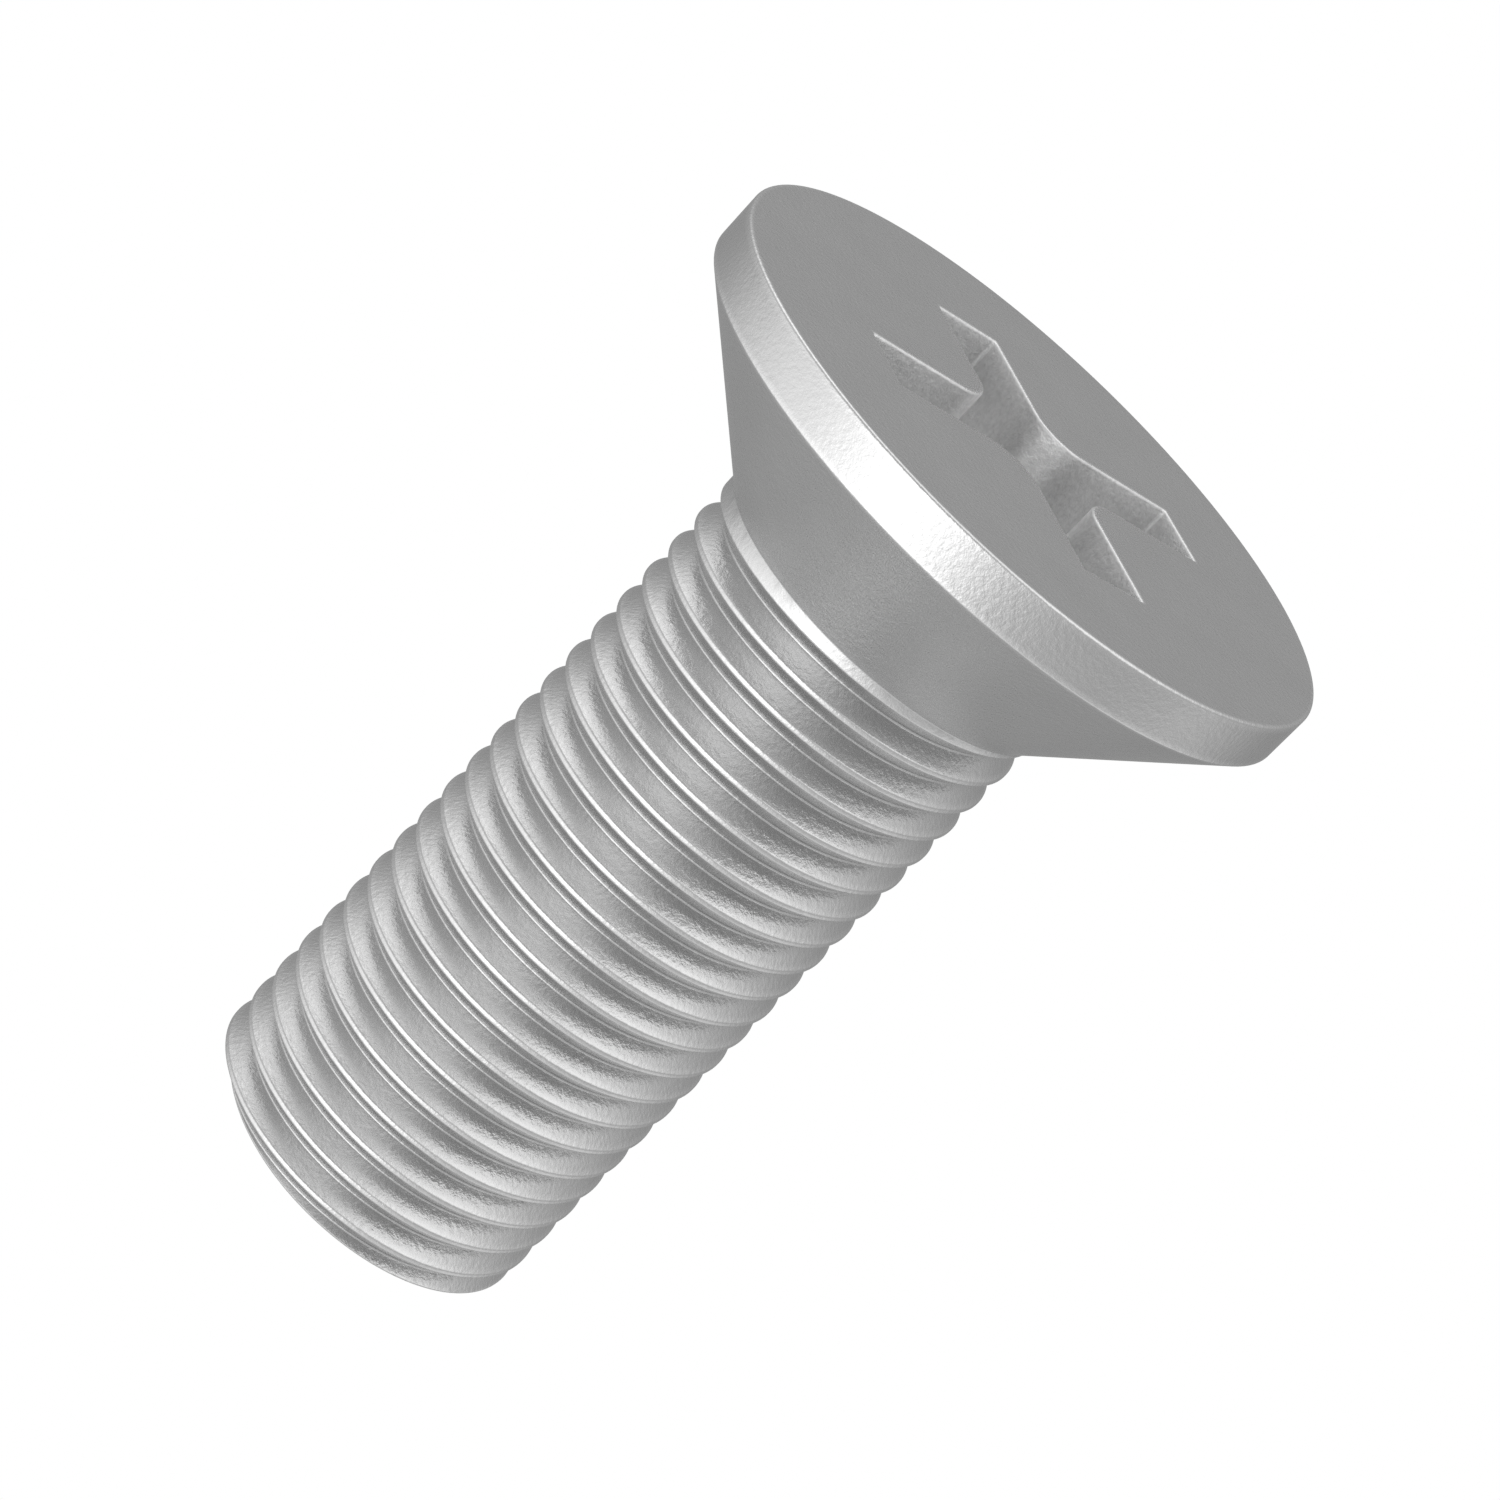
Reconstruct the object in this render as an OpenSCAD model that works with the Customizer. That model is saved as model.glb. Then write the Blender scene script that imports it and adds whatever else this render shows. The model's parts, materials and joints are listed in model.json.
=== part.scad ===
// Countersunk machine screw with a cross recess, fully threaded.
//
// The real screw is one piece of wire, headed cold and thread-rolled, so it is
// one solid here as well. The origin is the centre of the flat head face, +Z
// points out of the head and the threaded shank runs down -Z to a flat tip.

/* [Head] */
// Diameter of the flat head face
head_d = 11; // [10:0.1:13]
// Height of the upright rim around the head
rim_h = 0.8; // [0.4:0.1:1.2]
// Included angle of the cone that seats in a countersunk hole
cone_angle = 90; // [80:1:100]

/* [Shank] */
// Outside diameter of the thread
thread_d = 6; // [5.6:0.1:6.4]
// Overall length, from the head face to the tip
length = 15.9; // [10:0.1:30]
// Plain neck left under the cone at angle 0, above the first groove
neck_h = 0.13; // [0.1:0.01:0.3]

/* [Thread] */
// Distance from one crest to the next
pitch = 0.6; // [0.5:0.05:0.7]
// Depth of the groove, from crest to root
groove_depth = 0.305; // [0.2:0.005:0.32]
// Width of the flat left on each crest
crest_w = 0.075; // [0.05:0.005:0.1]
// Width of the narrow flat at the bottom of the groove
root_w = 0.03; // [0.02:0.005:0.05]
// Angle around the shank at which the full-depth groove begins to run out
runout_angle = 45; // [0:5:90]
// Number of turns over which the groove runs out under the head
runout_turns = 0.5; // [0.3:0.1:0.6]
// Straight segments in one turn of the thread
turn_segments = 48; // [24:4:48]

/* [Drive recess] */
// Span of the cross from the end of one wing to the end of the opposite one
cross_span = 6.36; // [5:0.02:6.6]
// Width of each wing
wing_w = 1.22; // [1:0.02:1.5]
// Radius of the rounded corners between the wings
corner_r = 0.7; // [0.3:0.05:0.8]
// Depth of the upright walls, down to where the wing floors start to slope
wall_depth = 1; // [0.7:0.1:1.2]
// Depth at which the sloping floors meet the round centre
floor_depth = 3; // [2.6:0.1:3]
// Radius of the round centre at that depth
centre_r = 1.1; // [0.8:0.05:1.3]
// Height of the shallow cone that closes the centre
centre_cone_h = 0.35; // [0.2:0.05:0.5]

/* [Hidden] */

head_r = head_d / 2;
thread_r = thread_d / 2;
cone_slope = tan(cone_angle / 2);
head_h = rim_h + (head_r - thread_r) / cone_slope;

// The cone goes on a little way inside the shank, so that the two overlap.
tail_r = thread_r - 0.1;
tail_h = rim_h + (head_r - tail_r) / cone_slope;

// Half the width of the groove along the axis, on its flank alone and in all.
flank_w = (pitch - crest_w - root_w) / 2;
half_groove = flank_w + root_w / 2;

// Height of the groove's root at angle 0, and the turn where run-out begins.
first_root_z = -(head_h + neck_h + half_groove);
full_turn = runout_angle / 360;

// Turns counted down from the one that lies wholly inside the head.
turn_count = ceil((length + first_root_z) / pitch) + 4;
edges_per_turn = 4;
row_count = turn_count * edges_per_turn;

curve_segments = 96;
overlap = 0.01;

// Share of its full size that the groove has at a place along the helix, in
// turns above angle 0. It is 1 along the shank and falls to 0 under the head.
function groove_share(turn) =
    max(0, min(1, (full_turn + runout_turns - turn) / runout_turns));

// Each turn has four edges: two on the crest cylinder and two at the root.
function edge_radius(edge, turn) =
    (edge == 0 || edge == 3) ? thread_r : thread_r - groove_depth * groove_share(turn);

function edge_height(edge, turn) =
    let (offset = [half_groove, root_w / 2, -root_w / 2, -half_groove][edge])
    first_root_z + pitch * turn + offset * groove_share(turn);

function rod_point(column, row) =
    let (
        angle = 360 * column / turn_segments,
        edge = row % edges_per_turn,
        turn = column / turn_segments + 1 - floor(row / edges_per_turn),
        r = edge_radius(edge, turn)
    )
    [r * cos(angle), r * sin(angle), edge_height(edge, turn)];

function index(column, row) =
    column * row_count + row;

// Two triangles between four corners, given anticlockwise from outside.
function quad(a, b, c, d) =
    [[a, c, b], [a, d, c]];

// Where the groove has run out its edges meet, and a triangle there is empty.
function has_area(face, points) =
    let (a = points[face[0]], b = points[face[1]], c = points[face[2]])
    a != b && b != c && c != a;

// Head, cone and rim as one turned shape
module head_blank() {
    rotate_extrude($fn = curve_segments)
        polygon([
            [0, 0],
            [head_r, 0],
            [head_r, -rim_h],
            [tail_r, -tail_h],
            [0, -tail_h]
        ]);
}

// A rod with the thread on it, longer than the shank at both ends.
// One column of points stands at each angle. The last column joins the first
// one a whole turn lower, which makes the surface a true helix.
module threaded_rod() {
    last = turn_segments - 1;
    top = turn_segments * row_count;
    bottom = top + 1;
    points = [
        for (column = [0 : last], row = [0 : row_count - 1]) rod_point(column, row),
        [0, 0, rod_point(last, 0)[2]],
        [0, 0, rod_point(0, row_count - 1)[2]]
    ];
    sides = [
        for (column = [0 : last - 1], row = [0 : row_count - 2])
            each quad(
                index(column, row + 1), index(column + 1, row + 1),
                index(column + 1, row), index(column, row)
            )
    ];
    seam = [
        for (row = [edges_per_turn : row_count - 2])
            each quad(
                index(last, row + 1), index(0, row + 1 - edges_per_turn),
                index(0, row - edges_per_turn), index(last, row)
            )
    ];
    top_rim = concat(
        [for (column = [0 : last]) index(column, 0)],
        [for (row = [1 : edges_per_turn]) index(last, row)]
    );
    bottom_rim = concat(
        [for (row = [0 : edges_per_turn]) index(0, row_count - 1 - edges_per_turn + row)],
        [for (column = [1 : last]) index(column, row_count - 1)]
    );
    top_cap = [
        for (i = [0 : len(top_rim) - 1])
            [top, top_rim[(i + 1) % len(top_rim)], top_rim[i]]
    ];
    bottom_cap = [
        for (i = [0 : len(bottom_rim) - 1])
            [bottom, bottom_rim[i], bottom_rim[(i + 1) % len(bottom_rim)]]
    ];
    polyhedron(
        points = points,
        faces = [
            for (face = concat(sides, seam, top_cap, bottom_cap))
                if (has_area(face, points)) face
        ],
        convexity = 10
    );
}

// The rod cut flat at the tip, with its top end inside the head
module shank() {
    intersection() {
        threaded_rod();
        translate([0, 0, -length])
            cylinder(h = length - overlap, r = head_r, $fn = curve_segments);
    }
}

// Outline of the recess: a cross with rounded corners between its wings
module cross_outline() {
    inner = wing_w / 2 + corner_r;
    difference() {
        union() {
            square([cross_span, wing_w], center = true);
            square([wing_w, cross_span], center = true);
            square(2 * inner, center = true);
        }
        for (quarter = [0 : 90 : 270])
            rotate(quarter)
                translate([inner, inner])
                    circle(r = corner_r, $fn = curve_segments);
    }
}

// Room that the driver's tip takes up, upright at first and then narrowing
module driver_envelope() {
    wide_r = cross_span / 2 + wing_w / 2;
    rotate_extrude($fn = curve_segments)
        polygon([
            [0, overlap],
            [wide_r, overlap],
            [wide_r, -wall_depth],
            [cross_span / 2, -wall_depth],
            [centre_r, -floor_depth],
            [0, -floor_depth - centre_cone_h]
        ]);
}

module drive_recess() {
    deep = floor_depth + centre_cone_h + overlap;
    intersection() {
        translate([0, 0, -deep])
            linear_extrude(height = deep + overlap)
                cross_outline();
        driver_envelope();
    }
}

module screw() {
    color([0.66, 0.67, 0.68])
        difference() {
            union() {
                head_blank();
                shank();
            }
            drive_recess();
        }
}

screw();
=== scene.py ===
"""A countersunk machine screw in bead-blasted steel, on a plain pale floor under soft studio light."""

import json
import math

import bmesh
import bpy
import numpy as np
from mathutils import Matrix, Vector


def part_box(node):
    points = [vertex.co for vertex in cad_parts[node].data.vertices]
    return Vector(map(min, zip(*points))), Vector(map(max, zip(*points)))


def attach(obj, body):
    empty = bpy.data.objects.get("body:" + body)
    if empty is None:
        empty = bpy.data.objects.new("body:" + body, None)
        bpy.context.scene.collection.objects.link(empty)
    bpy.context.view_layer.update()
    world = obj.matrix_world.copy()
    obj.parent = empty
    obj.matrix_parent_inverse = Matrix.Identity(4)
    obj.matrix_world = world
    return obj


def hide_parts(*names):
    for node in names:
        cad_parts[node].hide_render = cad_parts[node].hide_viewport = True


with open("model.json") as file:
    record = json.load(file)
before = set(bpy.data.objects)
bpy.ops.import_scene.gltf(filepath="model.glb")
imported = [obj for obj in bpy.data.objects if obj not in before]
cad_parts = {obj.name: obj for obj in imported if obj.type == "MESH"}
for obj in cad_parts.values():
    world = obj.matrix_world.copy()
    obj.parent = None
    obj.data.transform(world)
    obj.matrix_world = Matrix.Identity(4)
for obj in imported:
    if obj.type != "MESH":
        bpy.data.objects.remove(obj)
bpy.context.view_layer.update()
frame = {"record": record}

MM = 0.001

# ---- Sizes, in millimetres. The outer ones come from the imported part. ----

mounts = {mount["name"]: mount for mount in frame["record"]["mounts"]}
low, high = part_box("screw")

HEAD_R = (high[0] - low[0]) / 2 / MM
TIP_Z = low[2] / MM
THREAD_R = mounts["threaded_shank"]["dims"]["r_mm"]
RIM_H = -mounts["countersunk_seat"]["pos_m"][2] / MM
NECK_Z = mounts["threaded_shank"]["pos_m"][2] / MM

# Angle between the cone's side and the axis, in degrees
CONE_LEAN = 45

# The thread. Its run-out begins at 45 degrees from the +X axis and is counted in turns.
PITCH = 0.6
GROOVE_DEPTH = 0.305
CREST_W = 0.075
ROOT_W = 0.03
NECK_PLAIN = 0.13
RUNOUT_START = 45 / 360
RUNOUT_TURNS = 0.5

# The cross recess
CROSS_SPAN = 6.36
WING_W = 1.22
CORNER_R = 0.7
WALL_DEPTH = 1.0
FLOOR_DEPTH = 3.0
CENTRE_R = 1.1
RECESS_DEPTH = mounts["drive_recess"]["dims"]["length_mm"]

# Radii of the rounded edges, and the width of the narrow strip beside them that keeps
# their wear, painted highlight and shading off the flat faces
EDGE_R = 0.045
CREST_EDGE_R = 0.05
WING_CORNER_R = 0.03
MARGIN = 0.08

# Fineness of the mesh: columns in a turn, steps in a rounded edge and down a flank, and
# points across a wing's end and along its side
COLUMNS = 160
ARC_STEPS = 4
FLANK_STEPS = 4
WING_END_POINTS = 9
WING_SIDE_POINTS = 13

# Where the rows of points lie down the recess's wall, and in along its floor to the centre
WALL_SHARES = (0.1, 0.3, 0.6, 1)
FLOOR_SHARES = (0.75, 0.5, 0.25, 0)

# Bends, in degrees, above which an edge is shaded sharp and an outer edge gets wear and a
# painted highlight
SHARP_ANGLE = 35
WORN_AND_SHEEN_ANGLE = 4

# Painted highlight and shade along the recess's outline: width of the painted highlight on
# each nose, and width and strength of the painted shade on each side of it
NOSE_HIGHLIGHT_WIDTH = 0.45
SHADE_WIDTH = 0.35
SHADE_STRENGTH = 0.7

# Distances, in metres, under which points are merged and empty faces are taken out
SAME_PLACE = 2e-8
NO_LENGTH = 1e-8


# ---- Outlines ----


def arc(centre, radius, start, end, steps):
    """Points on an arc in a plane, from one angle in degrees to another."""
    angles = np.radians(np.linspace(start, end, steps + 1))
    return [(centre[0] + radius * math.cos(a), centre[1] + radius * math.sin(a)) for a in angles]


def head_profile():
    """The head's outer skin as (radius, height), from the flat face down to the neck."""
    bend = EDGE_R * math.tan(math.radians(CONE_LEAN / 2))
    top = arc((HEAD_R - EDGE_R, -EDGE_R), EDGE_R, 90, 0, ARC_STEPS)
    rim = arc((HEAD_R - EDGE_R, -RIM_H + bend), EDGE_R, 0, -CONE_LEAN, ARC_STEPS)
    neck = arc((THREAD_R + EDGE_R, NECK_Z - bend), EDGE_R, 180 - CONE_LEAN, 180, ARC_STEPS)
    face = [(HEAD_R - EDGE_R - MARGIN, 0), (HEAD_R - EDGE_R - MARGIN / 2, 0)]
    band = [(HEAD_R, -EDGE_R - MARGIN), (HEAD_R, bend + MARGIN - RIM_H)]
    start, end = np.array(rim[-1]), np.array(neck[0])
    margin = MARGIN / math.dist(start, end)
    cone = [tuple(start + (end - start) * share) for share in (margin, 0.5, 1 - margin)]
    return face + top + band + rim + cone + neck


def groove_profile():
    """One groove as (offset along the axis, depth), from its upper edge to its lower edge."""
    half_groove = (PITCH - CREST_W) / 2
    flank_w = half_groove - ROOT_W / 2
    lean = math.degrees(math.atan2(GROOVE_DEPTH, flank_w))
    bend = CREST_EDGE_R * math.tan(math.radians(lean / 2))
    edge = [
        (half_groove + bend - x, CREST_EDGE_R - y)
        for x, y in arc((0, 0), CREST_EDGE_R, 90, 90 - lean, ARC_STEPS)
    ]
    root_r = ROOT_W / 2 / math.tan(math.radians(lean / 2))
    root = [
        (-x, GROOVE_DEPTH - root_r - y)
        for x, y in arc((0, 0), root_r, 180 + 90 - lean, 270, ARC_STEPS)
    ]
    start, end = np.array(edge[-1]), np.array(root[0])
    shares = np.arange(1, FLANK_STEPS) / FLANK_STEPS
    flank = [tuple(start + (end - start) * share) for share in shares]
    upper = edge + flank + root
    lower = [(-offset, depth) for offset, depth in reversed(upper[:-1])]
    return np.array(upper + lower)


def cross_outline(grow):
    """The recess in plan, grown outwards by a distance, anticlockwise and closed.

    The wings' ends have small rounded corners, and the noses between the wings large ones.
    """
    half, end = WING_W / 2 + grow, CROSS_SPAN / 2 + grow
    small, large = WING_CORNER_R, CORNER_R - grow
    inner = half + large
    close = half - 2 * small
    wing = [(end, y) for y in np.linspace(-close, close, WING_END_POINTS)]
    wing += arc((end - small, half - small), small, 0, 90, ARC_STEPS)
    side = np.linspace(end - 2 * small, inner, WING_SIDE_POINTS)[:-1]
    wing += [(x, half) for x in side]
    wing += arc((inner, inner), large, 270, 180, 4 * ARC_STEPS)
    wing += [(half, y) for y in side[::-1]]
    wing += arc((half - small, end - small), small, 0, 90, ARC_STEPS)
    quarter_turn = np.array([[0, -1], [1, 0]])
    points = []
    for quarter in range(4):
        turn = np.linalg.matrix_power(quarter_turn, quarter)
        points += [tuple(turn @ p) for p in wing]
    return np.array(points)


# ---- The screw's mesh ----


class Skin:
    """Collects points and faces, in millimetres, for one closed mesh.

    Each point also holds three values. From 0 to 1, the punched finish of the recess, whose
    grey is also raised there as painted light, and painted shade on the thread's flanks that
    face the tip. From -1 to 1, painted highlight and painted shade on the recess's walls.
    """

    def __init__(self):
        self.points = []
        self.faces = []
        self.punched_and_lit = []
        self.tip_flank_shade = []
        self.painted_wall_light = []

    def row(self, points, punched_and_lit=0.0, tip_flank_shade=0.0, painted_wall_light=0.0):
        """Adds a row of points and returns their numbers."""
        first = len(self.points)
        self.points += [tuple(p) for p in points]
        count = len(self.points) - first
        self.punched_and_lit += list(np.broadcast_to(punched_and_lit, count))
        self.tip_flank_shade += list(np.broadcast_to(tip_flank_shade, count))
        self.painted_wall_light += list(np.broadcast_to(painted_wall_light, count))
        return list(range(first, len(self.points)))

    def ring(self, upper, lower):
        """Joins two closed rows that run the same way round, the upper one first."""
        for i in range(len(upper)):
            j = (i + 1) % len(upper)
            self.faces.append((upper[i], lower[i], lower[j], upper[j]))


def turned(radius, height):
    """A circle of points, anticlockwise from above."""
    angles = np.radians(np.arange(COLUMNS) * 360 / COLUMNS)
    return [(radius * math.cos(a), radius * math.sin(a), height) for a in angles]


def shank_columns(top_z, bottom_z):
    """Radius and height of every row of the thread, for every column of points.

    Rows that would lie outside the shank are moved to its ends, where they merge.
    """
    groove = groove_profile()
    first_root = NECK_Z - NECK_PLAIN - (PITCH - CREST_W) / 2
    turns_down = math.ceil((first_root - bottom_z) / PITCH) + 2
    radii, heights = [], []
    for column in range(COLUMNS + 1):
        z, r = [], []
        for k in range(-1, turns_down):
            turn = column / COLUMNS - k
            share = min(1, max(0, (RUNOUT_START + RUNOUT_TURNS - turn) / RUNOUT_TURNS))
            z.append(first_root + PITCH * turn + groove[:, 0] * share)
            r.append(THREAD_R - groove[:, 1] * share)
        z, r = np.concatenate(z), np.concatenate(r)
        kept_z = np.clip(z, bottom_z, top_z)
        radii.append(np.interp(-kept_z, -z, r))
        heights.append(kept_z)
    return np.array(radii), np.array(heights)


def add_shank(skin, top_z):
    """The threaded shank from its top height down to its flat tip. Returns its top row."""
    tip_z = TIP_Z + EDGE_R
    radii, heights = shank_columns(top_z, tip_z)
    angles = np.radians(np.arange(COLUMNS + 1) * 360 / COLUMNS)
    profile_rows = len(groove_profile())
    rows = []
    for row in range(radii.shape[1]):
        faces_tip = ARC_STEPS <= row % profile_rows <= ARC_STEPS + FLANK_STEPS
        points = (
            (radii[c, row] * math.cos(a), radii[c, row] * math.sin(a), heights[c, row])
            for c, a in enumerate(angles)
        )
        # Rows on the flanks that face the tip are marked for painted shade
        rows.append(skin.row(points, tip_flank_shade=float(faces_tip)))
    for upper, lower in zip(rows, rows[1:]):
        for c in range(COLUMNS):
            skin.faces.append((upper[c], lower[c], lower[c + 1], upper[c + 1]))
    last_r = radii[:COLUMNS, -1]
    row = rows[-1][:COLUMNS]
    for step in range(1, ARC_STEPS + 1):
        a = math.radians(90 * step / ARC_STEPS)
        r = last_r - EDGE_R * (1 - math.cos(a))
        z = tip_z - EDGE_R * math.sin(a)
        below = skin.row(
            (r[c] * math.cos(angles[c]), r[c] * math.sin(angles[c]), z) for c in range(COLUMNS)
        )
        skin.ring(row, below)
        row = below
    for inset in (MARGIN / 2, MARGIN):
        below = skin.row(
            ((r[c] - inset) * math.cos(angles[c]), (r[c] - inset) * math.sin(angles[c]), z)
            for c in range(COLUMNS)
        )
        skin.ring(row, below)
        row = below
    skin.faces.append(tuple(reversed(row)))
    return rows[0][:COLUMNS]


def floor_height(radius):
    """Height of the recess's floor at a distance from the axis."""
    slope_start = CROSS_SPAN / 2
    if radius >= slope_start:
        return -WALL_DEPTH
    if radius >= CENTRE_R:
        fall = (FLOOR_DEPTH - WALL_DEPTH) / (slope_start - CENTRE_R)
        return -WALL_DEPTH - (slope_start - radius) * fall
    return -FLOOR_DEPTH - (RECESS_DEPTH - FLOOR_DEPTH) * (1 - radius / CENTRE_R)


def wall_painted_light(walls):
    """Painted highlight and painted shade for each point of the recess's outline, from -1 to 1.

    The noses between the wings and the corners at the wings' ends get a painted highlight,
    and the walls on both sides of a nose get painted shade.
    """
    far = np.abs(walls).max(axis=1)
    near = np.abs(walls).min(axis=1)
    from_nose = far - near
    nose = np.exp(-((from_nose / NOSE_HIGHLIGHT_WIDTH) ** 2))
    beside = np.exp(-(((from_nose - CORNER_R) / SHADE_WIDTH) ** 2))
    # A line across each wing's corner, just inside its rounding
    corner_line = CROSS_SPAN / 2 + WING_W / 2 - 1.5 * WING_CORNER_R
    # Points across a wing's corner get the full painted highlight
    return np.where(far + near > corner_line, 1.0, nose - SHADE_STRENGTH * beside)


def add_recess(skin):
    """The cross recess, from its rounded mouth to its floor. Returns its outermost row."""
    walls = cross_outline(0)
    # Painted highlight and shade along the recess's outline
    painted_wall_light = wall_painted_light(walls)
    reach = np.hypot(walls[:, 0], walls[:, 1])
    mouth = skin.row((x, y, 0) for x, y in cross_outline(EDGE_R + MARGIN))
    row = skin.row((x, y, 0) for x, y in cross_outline(EDGE_R + MARGIN / 2))
    skin.ring(mouth, row)
    # Down the mouth's rounding the punched finish and its painted light fade in
    for step in range(ARC_STEPS + 1):
        a = math.radians(90 * step / ARC_STEPS)
        outline = cross_outline(EDGE_R * (1 - math.sin(a)))
        z = -EDGE_R * (1 - math.cos(a))
        below = skin.row(((x, y, z) for x, y in outline), punched_and_lit=step / ARC_STEPS, painted_wall_light=painted_wall_light)
        skin.ring(row, below)
        row = below
    floor = np.array([floor_height(r) for r in reach])
    for share in WALL_SHARES:
        points = ((x, y, -EDGE_R + (z + EDGE_R) * share) for (x, y), z in zip(walls, floor))
        below = skin.row(points, punched_and_lit=1.0, painted_wall_light=painted_wall_light)
        skin.ring(row, below)
        row = below
    for share in FLOOR_SHARES:
        r = CENTRE_R + (reach - CENTRE_R) * share
        points = ((x * k, y * k, floor_height(s)) for (x, y), k, s in zip(walls, r / reach, r))
        below = skin.row(points, punched_and_lit=1.0, painted_wall_light=painted_wall_light * share)
        skin.ring(row, below)
        row = below
    centre = skin.row([(0, 0, -RECESS_DEPTH)], punched_and_lit=1.0)[0]
    for i in range(len(row)):
        skin.faces.append((row[i], centre, row[(i + 1) % len(row)]))
    return mouth


def close_head_face(shape, outer, mouth):
    """Fills the flat face between its outer row of points and the recess's mouth."""
    shape.verts.ensure_lookup_table()
    edges = []
    for row in (outer, mouth):
        corners = [shape.verts[i] for i in row]
        edges += [shape.edges.get(pair) for pair in zip(corners, corners[1:] + corners[:1])]
    bmesh.ops.triangle_fill(shape, edges=edges, use_beauty=True, normal=(0, 0, 1))


def mark_worn_and_sheen_edges(shape):
    """Marks the points of every edge that stands out, to be brightened as wear and as a painted
    highlight.
    """
    worn_and_sheen = shape.verts.layers.float.new("worn_and_sheen")
    for edge in shape.edges:
        if edge.calc_face_angle_signed(0) > math.radians(WORN_AND_SHEEN_ANGLE):
            for vertex in edge.verts:
                vertex[worn_and_sheen] = 1


def build_screw():
    """The whole screw as one closed mesh."""
    skin = Skin()
    profile = head_profile()
    rows = [skin.row(turned(r, z)) for r, z in profile]
    for upper, lower in zip(rows, rows[1:]):
        skin.ring(upper, lower)
    shank_top = add_shank(skin, profile[-1][1])
    skin.ring(rows[-1], shank_top)
    mouth = add_recess(skin)

    mesh = bpy.data.meshes.new("screw_metal")
    mesh.from_pydata([Vector(p) * MM for p in skin.points], [], skin.faces)
    for name in ("punched_and_lit", "tip_flank_shade", "painted_wall_light"):
        values = getattr(skin, name)
        mesh.attributes.new(name, "FLOAT", "POINT").data.foreach_set("value", values)
    shape = bmesh.new()
    shape.from_mesh(mesh)
    close_head_face(shape, rows[0], mouth)
    bmesh.ops.remove_doubles(shape, verts=shape.verts, dist=SAME_PLACE)
    bmesh.ops.dissolve_degenerate(shape, edges=shape.edges, dist=NO_LENGTH)
    bmesh.ops.recalc_face_normals(shape, faces=shape.faces)
    mark_worn_and_sheen_edges(shape)
    shape.to_mesh(mesh)
    shape.free()
    mesh.polygons.foreach_set("use_smooth", [True] * len(mesh.polygons))
    mesh.set_sharp_from_angle(angle=math.radians(SHARP_ANGLE))
    screw = bpy.data.objects.new("screw_metal", mesh)
    bpy.context.scene.collection.objects.link(screw)
    weights = screw.modifiers.new("even shading", "WEIGHTED_NORMAL")
    weights.keep_sharp = True
    return screw


# ---- Material ----

# Sizes of the spots, in millimetres: dents of the blasting, their grain, and patches of colour
DENT_SIZE = 0.085
GRAIN_SIZE = 0.025
PATCH_SIZE = 1.2

# Greys and roughness of the blasted steel, and of the recess's punched finish. The recess's
# greys are set brighter than the steel's as painted light in the recess.
STEEL_GREYS = (0.60, 0.63)
STEEL_ROUGHNESS = (0.21, 0.29)
PUNCHED_LIT_GREYS = (0.71, 0.85)
PUNCHED_ROUGHNESS = 0.38
PUNCHED_METALLIC = 0.55

# What wear and the painted edge highlight add to the grey, and what the painted shade on the
# tip-facing flanks and the painted light on the recess's walls change it by, as shares of it
WORN_AND_SHEEN_GAIN = 0.1
TIP_FLANK_SHADE_CHANGE = -0.15
PAINTED_WALL_LIGHT_CHANGE = 0.25

# Height of the dents in millimetres, what the recess adds to it, and the grain's share
DENT_HEIGHT = 0.009
PUNCHED_EXTRA_HEIGHT = 0.008
GRAIN_SHARE = 0.25


class Graph:
    """A short way to add linked nodes to a material or a world."""

    def __init__(self, tree):
        self.nodes = tree.nodes
        self.links = tree.links

    def add(self, kind, settings=None, **inputs):
        """Adds a node. An input is a number, a colour or another node's output."""
        node = self.nodes.new("ShaderNode" + kind)
        for name, value in (settings or {}).items():
            setattr(node, name, value)
        for name, value in inputs.items():
            socket = node.inputs[int(name[1:])] if name[0] == "i" else node.inputs[name]
            if isinstance(value, bpy.types.NodeSocket):
                self.links.new(value, socket)
            else:
                socket.default_value = value
        return node

    def math(self, operation, *values):
        """The result of a sum on numbers or other nodes' outputs."""
        inputs = {"i%d" % i: value for i, value in enumerate(values)}
        return self.add("Math", {"operation": operation}, **inputs).outputs[0]

    def noise(self, place, size_mm, detail, roughness=0.5):
        """Noise whose spots are about a size in millimetres."""
        node = self.add("TexNoise", Scale=1 / (size_mm * MM), Detail=detail, Roughness=roughness)
        self.links.new(place, node.inputs["Vector"])
        return node.outputs["Fac"]

    def point_value(self, name):
        """A value that the mesh holds for each of its points."""
        return self.add("Attribute", {"attribute_name": name}).outputs["Fac"]

    def spread(self, noise, between):
        """Maps noise, which is mostly from 0.3 to 0.7, onto the range between two values."""
        node = self.add("MapRange")
        self.links.new(noise, node.inputs["Value"])
        limits = zip(("From Min", "From Max", "To Min", "To Max"), (0.3, 0.7) + between)
        for name, number in limits:
            node.inputs[name].default_value = number
        return node.outputs["Result"]


def changed(graph, grey, amount, change):
    """A grey that changes by a share of itself where the amount is 1, and not where it is 0."""
    return graph.math("MULTIPLY", grey, graph.math("MULTIPLY_ADD", amount, change, 1.0))


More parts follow.
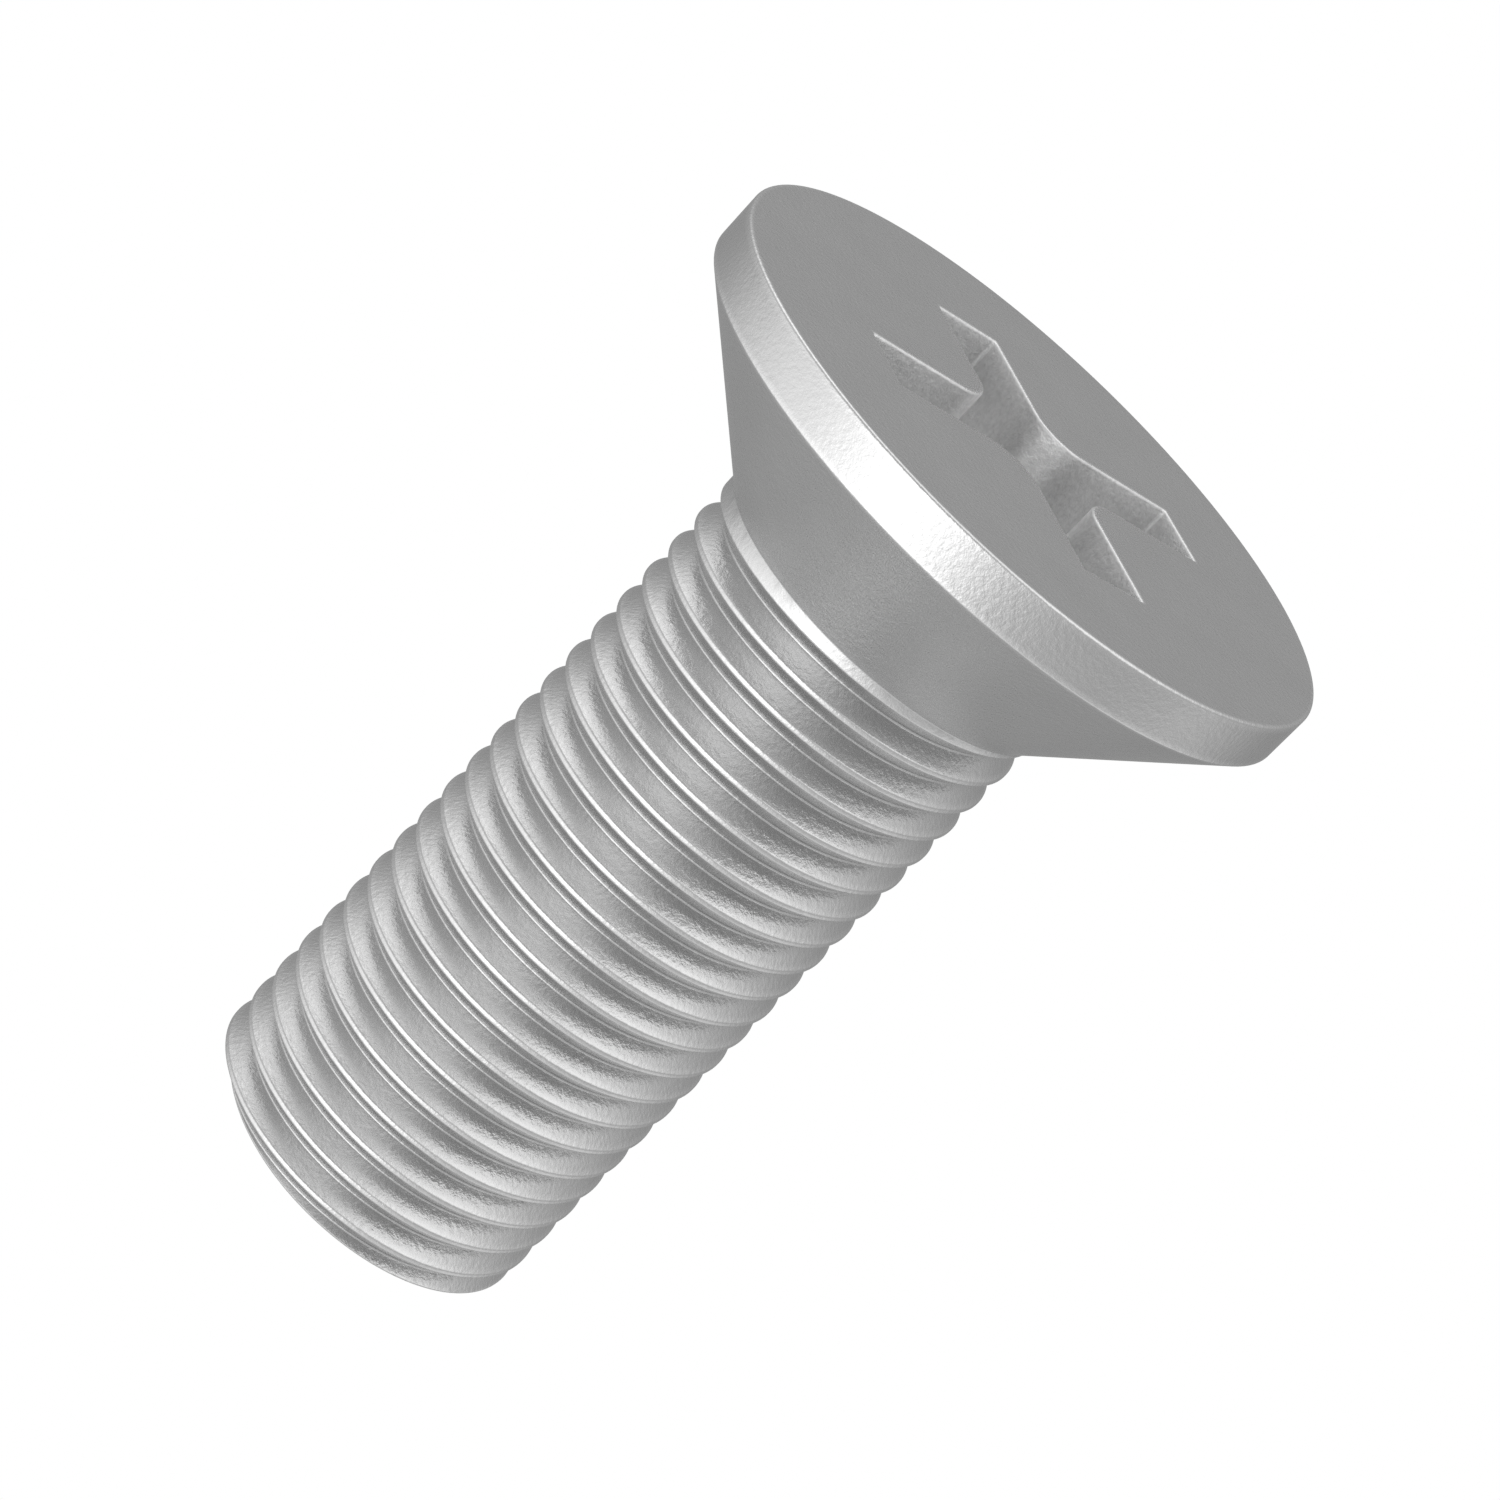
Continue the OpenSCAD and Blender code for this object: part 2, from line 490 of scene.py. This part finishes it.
def satin_steel():
    """Bead-blasted steel: small dents, a fine grain, slow patches, and edges brightened as wear and as
    a painted highlight.

    The thread's flanks that face the tip are darkened as painted shade. The recess is rougher
    and partly non-metallic, as the punch leaves it; its grey is raised as painted light, with a
    painted highlight on its noses and wings' corners and painted shade beside the noses.
    """
    material = bpy.data.materials.new("satin_steel")
    material.use_nodes = True
    shader = material.node_tree.nodes["Principled BSDF"]
    graph = Graph(material.node_tree)
    place = graph.add("TexCoord").outputs["Object"]

    dents = graph.noise(place, DENT_SIZE, 3, 0.55)
    grain = graph.noise(place, GRAIN_SIZE, 1)
    patches = graph.noise(place, PATCH_SIZE, 3)
    punched_and_lit = graph.point_value("punched_and_lit")

    grey = graph.spread(patches, STEEL_GREYS)
    # Painted shade: the thread's flanks that face the tip are darkened
    grey = changed(graph, grey, graph.point_value("tip_flank_shade"), TIP_FLANK_SHADE_CHANGE)
    # Wear and a painted highlight: edges that stand out are brightened
    grey = graph.math("MULTIPLY_ADD", graph.point_value("worn_and_sheen"), WORN_AND_SHEEN_GAIN, grey)
    # Painted light: the recess's grey is set brighter than the steel's, spread by the dents
    punched_lit_grey = graph.spread(dents, PUNCHED_LIT_GREYS)
    # Painted highlight on the recess's noses and wings' corners, and painted shade beside the noses
    punched_lit_grey = changed(graph, punched_lit_grey, graph.point_value("painted_wall_light"), PAINTED_WALL_LIGHT_CHANGE)
    shade = graph.add("Mix", Factor=punched_and_lit, A=grey, B=punched_lit_grey).outputs[0]
    colour = graph.add("CombineColor", Red=shade, Green=shade, Blue=shade)
    graph.links.new(colour.outputs[0], shader.inputs["Base Color"])

    rough = graph.spread(grain, STEEL_ROUGHNESS)
    rough = graph.add("Mix", Factor=punched_and_lit, A=rough, B=PUNCHED_ROUGHNESS).outputs[0]
    graph.links.new(rough, shader.inputs["Roughness"])
    metallic = graph.math("MULTIPLY_ADD", punched_and_lit, PUNCHED_METALLIC - 1, 1.0)
    graph.links.new(metallic, shader.inputs["Metallic"])

    height = graph.math("MULTIPLY_ADD", grain, GRAIN_SHARE, dents)
    depth = graph.math("MULTIPLY_ADD", punched_and_lit, PUNCHED_EXTRA_HEIGHT * MM, DENT_HEIGHT * MM)
    bump = graph.add("Bump", Height=height, Distance=depth, Strength=1.0)
    graph.links.new(bump.outputs[0], shader.inputs["Normal"])
    return material


# ---- Camera, floor and light ----

# Angles in degrees, distance from the aimed point in millimetres, and that point's place
# on the axis as a share of the screw's length
CAMERA_AZIMUTH = 49.36
CAMERA_ELEVATION = 20.81
CAMERA_ROLL = 43.85
CAMERA_DISTANCE = 62.346
CAMERA_LENS = 99.13
AIM_SHARE = 0.4072


def direction(azimuth, elevation):
    """Unit vector towards a place. Azimuth 0 is in front, at -Y, and 90 is at +X."""
    a, e = math.radians(azimuth), math.radians(elevation)
    return Vector((math.sin(a) * math.cos(e), -math.cos(a) * math.cos(e), math.sin(e)))


def add_camera():
    """The camera looks at a point on the screw's axis, rolled so that the head leans right."""
    back = direction(CAMERA_AZIMUTH, CAMERA_ELEVATION)
    right = direction(CAMERA_AZIMUTH + 90, 0)
    up = back.cross(right)
    roll = Matrix.Rotation(math.radians(CAMERA_ROLL), 3, back)
    camera = bpy.data.cameras.new("camera")
    camera.lens = CAMERA_LENS
    camera.clip_start = 0.001
    holder = bpy.data.objects.new("camera", camera)
    axes = Matrix((roll @ right, roll @ up, back)).transposed().to_4x4()
    aim = Vector((0, 0, AIM_SHARE * TIP_Z * MM))
    holder.matrix_world = Matrix.Translation(aim + back * CAMERA_DISTANCE * MM) @ axes
    bpy.context.scene.collection.objects.link(holder)
    bpy.context.scene.camera = holder


# The studio's light is an even grey with broad soft glows. Each glow has a name, an azimuth
# from the camera's, an elevation, a tightness and a brightness, which is below 0 for a dark
# flag. It falls off as exp(tightness * (cos(angle from its middle) - 1)).
STUDIO_GREY = 0.31
GLOWS = (
    ("front", -16, -13, 7.5, 1.65),
    ("left", -73, -27, 4.2, 0.8),
    ("left_high", -128, 49, 11, 1.05),
    ("overhead", 80, 70, 3.3, 0.96),
    ("right_high", 70, 38, 16, 0.27),
    ("right_low", 104, -31, 13, 0.42),
    ("low", 45, -51, 4.9, 0.42),
    ("dark_flag", -8, 45, 8, -0.28),
)


def add_world():
    """White behind the screw, and in its reflections a grey studio with broad soft glows."""
    world = bpy.data.worlds.new("studio")
    world.use_nodes = True
    graph = Graph(world.node_tree)
    place = graph.add("TexCoord").outputs["Generated"]
    light = STUDIO_GREY
    for name, azimuth, elevation, tightness, brightness in GLOWS:
        middle = direction(CAMERA_AZIMUTH + azimuth, elevation)
        near = graph.add("VectorMath", {"operation": "DOT_PRODUCT", "label": name}, i0=place, i1=middle)
        fall = graph.math("MULTIPLY_ADD", near.outputs["Value"], tightness, -tightness)
        glow = graph.math("EXPONENT", fall)
        light = graph.math("MULTIPLY_ADD", glow, brightness, light)
    seen = graph.add("LightPath").outputs["Is Camera Ray"]
    strength = graph.add("Mix", Factor=seen, A=light, B=1.0).outputs[0]
    background = world.node_tree.nodes["Background"]
    background.inputs["Color"].default_value = (1, 1, 1, 1)
    graph.links.new(strength, background.inputs["Strength"])
    bpy.context.scene.world = world


# Half the floor's width and its distance under the tip, in metres
FLOOR_REACH = 2.0
FLOOR_GAP = 0.0005


def add_floor():
    """A pale floor under the tip. It glows evenly, and only the camera sees it, from above."""
    mesh = bpy.data.meshes.new("floor")
    corners = [(-1, -1), (1, -1), (1, 1), (-1, 1)]
    height = low[2] - FLOOR_GAP
    points = [(x * FLOOR_REACH, y * FLOOR_REACH, height) for x, y in corners]
    mesh.from_pydata(points, [], [(0, 1, 2, 3)])
    material = bpy.data.materials.new("pale_floor")
    material.use_nodes = True
    graph = Graph(material.node_tree)
    glow = graph.add("Emission", Color=(1, 1, 1, 1), Strength=1.0)
    clear = graph.add("BsdfTransparent")
    under = graph.add("NewGeometry").outputs["Backfacing"]
    mix = graph.add("MixShader", i0=under, i1=glow.outputs[0], i2=clear.outputs[0])
    output = material.node_tree.nodes["Material Output"]
    graph.links.new(mix.outputs[0], output.inputs["Surface"])
    mesh.materials.append(material)
    floor = bpy.data.objects.new("floor", mesh)
    bpy.context.scene.collection.objects.link(floor)
    for ray in ("diffuse", "glossy", "transmission", "volume_scatter", "shadow"):
        setattr(floor, "visible_" + ray, False)


add_camera()
add_world()
add_floor()
screw = build_screw()
screw.data.materials.append(satin_steel())
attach(screw, "root")
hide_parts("screw")

bpy.context.scene.view_settings.view_transform = "Standard"
